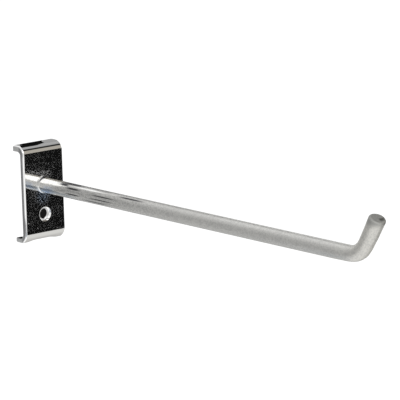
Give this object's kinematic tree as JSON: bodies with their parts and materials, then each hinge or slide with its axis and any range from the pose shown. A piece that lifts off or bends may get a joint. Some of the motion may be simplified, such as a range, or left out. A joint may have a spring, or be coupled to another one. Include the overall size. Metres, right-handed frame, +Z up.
{
  "type": "pegboard hook",
  "caption": "Round steel rod with an upturned end, welded square to a small folded bracket that a screw fixes to a perforated board, for hanging tools and goods.",
  "frame": {"origin": "centre of the screw hole on the bracket's back face", "axes": "-Y along the rod, away from the board; +Z up; X across the bracket"},
  "size_m": [0.0206, 0.2097, 0.0405],
  "materials": {
    "bright_plating": "bright zinc plating on stamped sheet, mirror-like, with rolled edges and fine scuffs",
    "satin_plating": "zinc plating on drawn rod, satin, with faint lengthwise draw marks, brighter near the weld"
  },
  "bodies": {
    "root": {"back_plate": "bright_plating", "hook_rod": "satin_plating"}
  },
  "joints": []
}
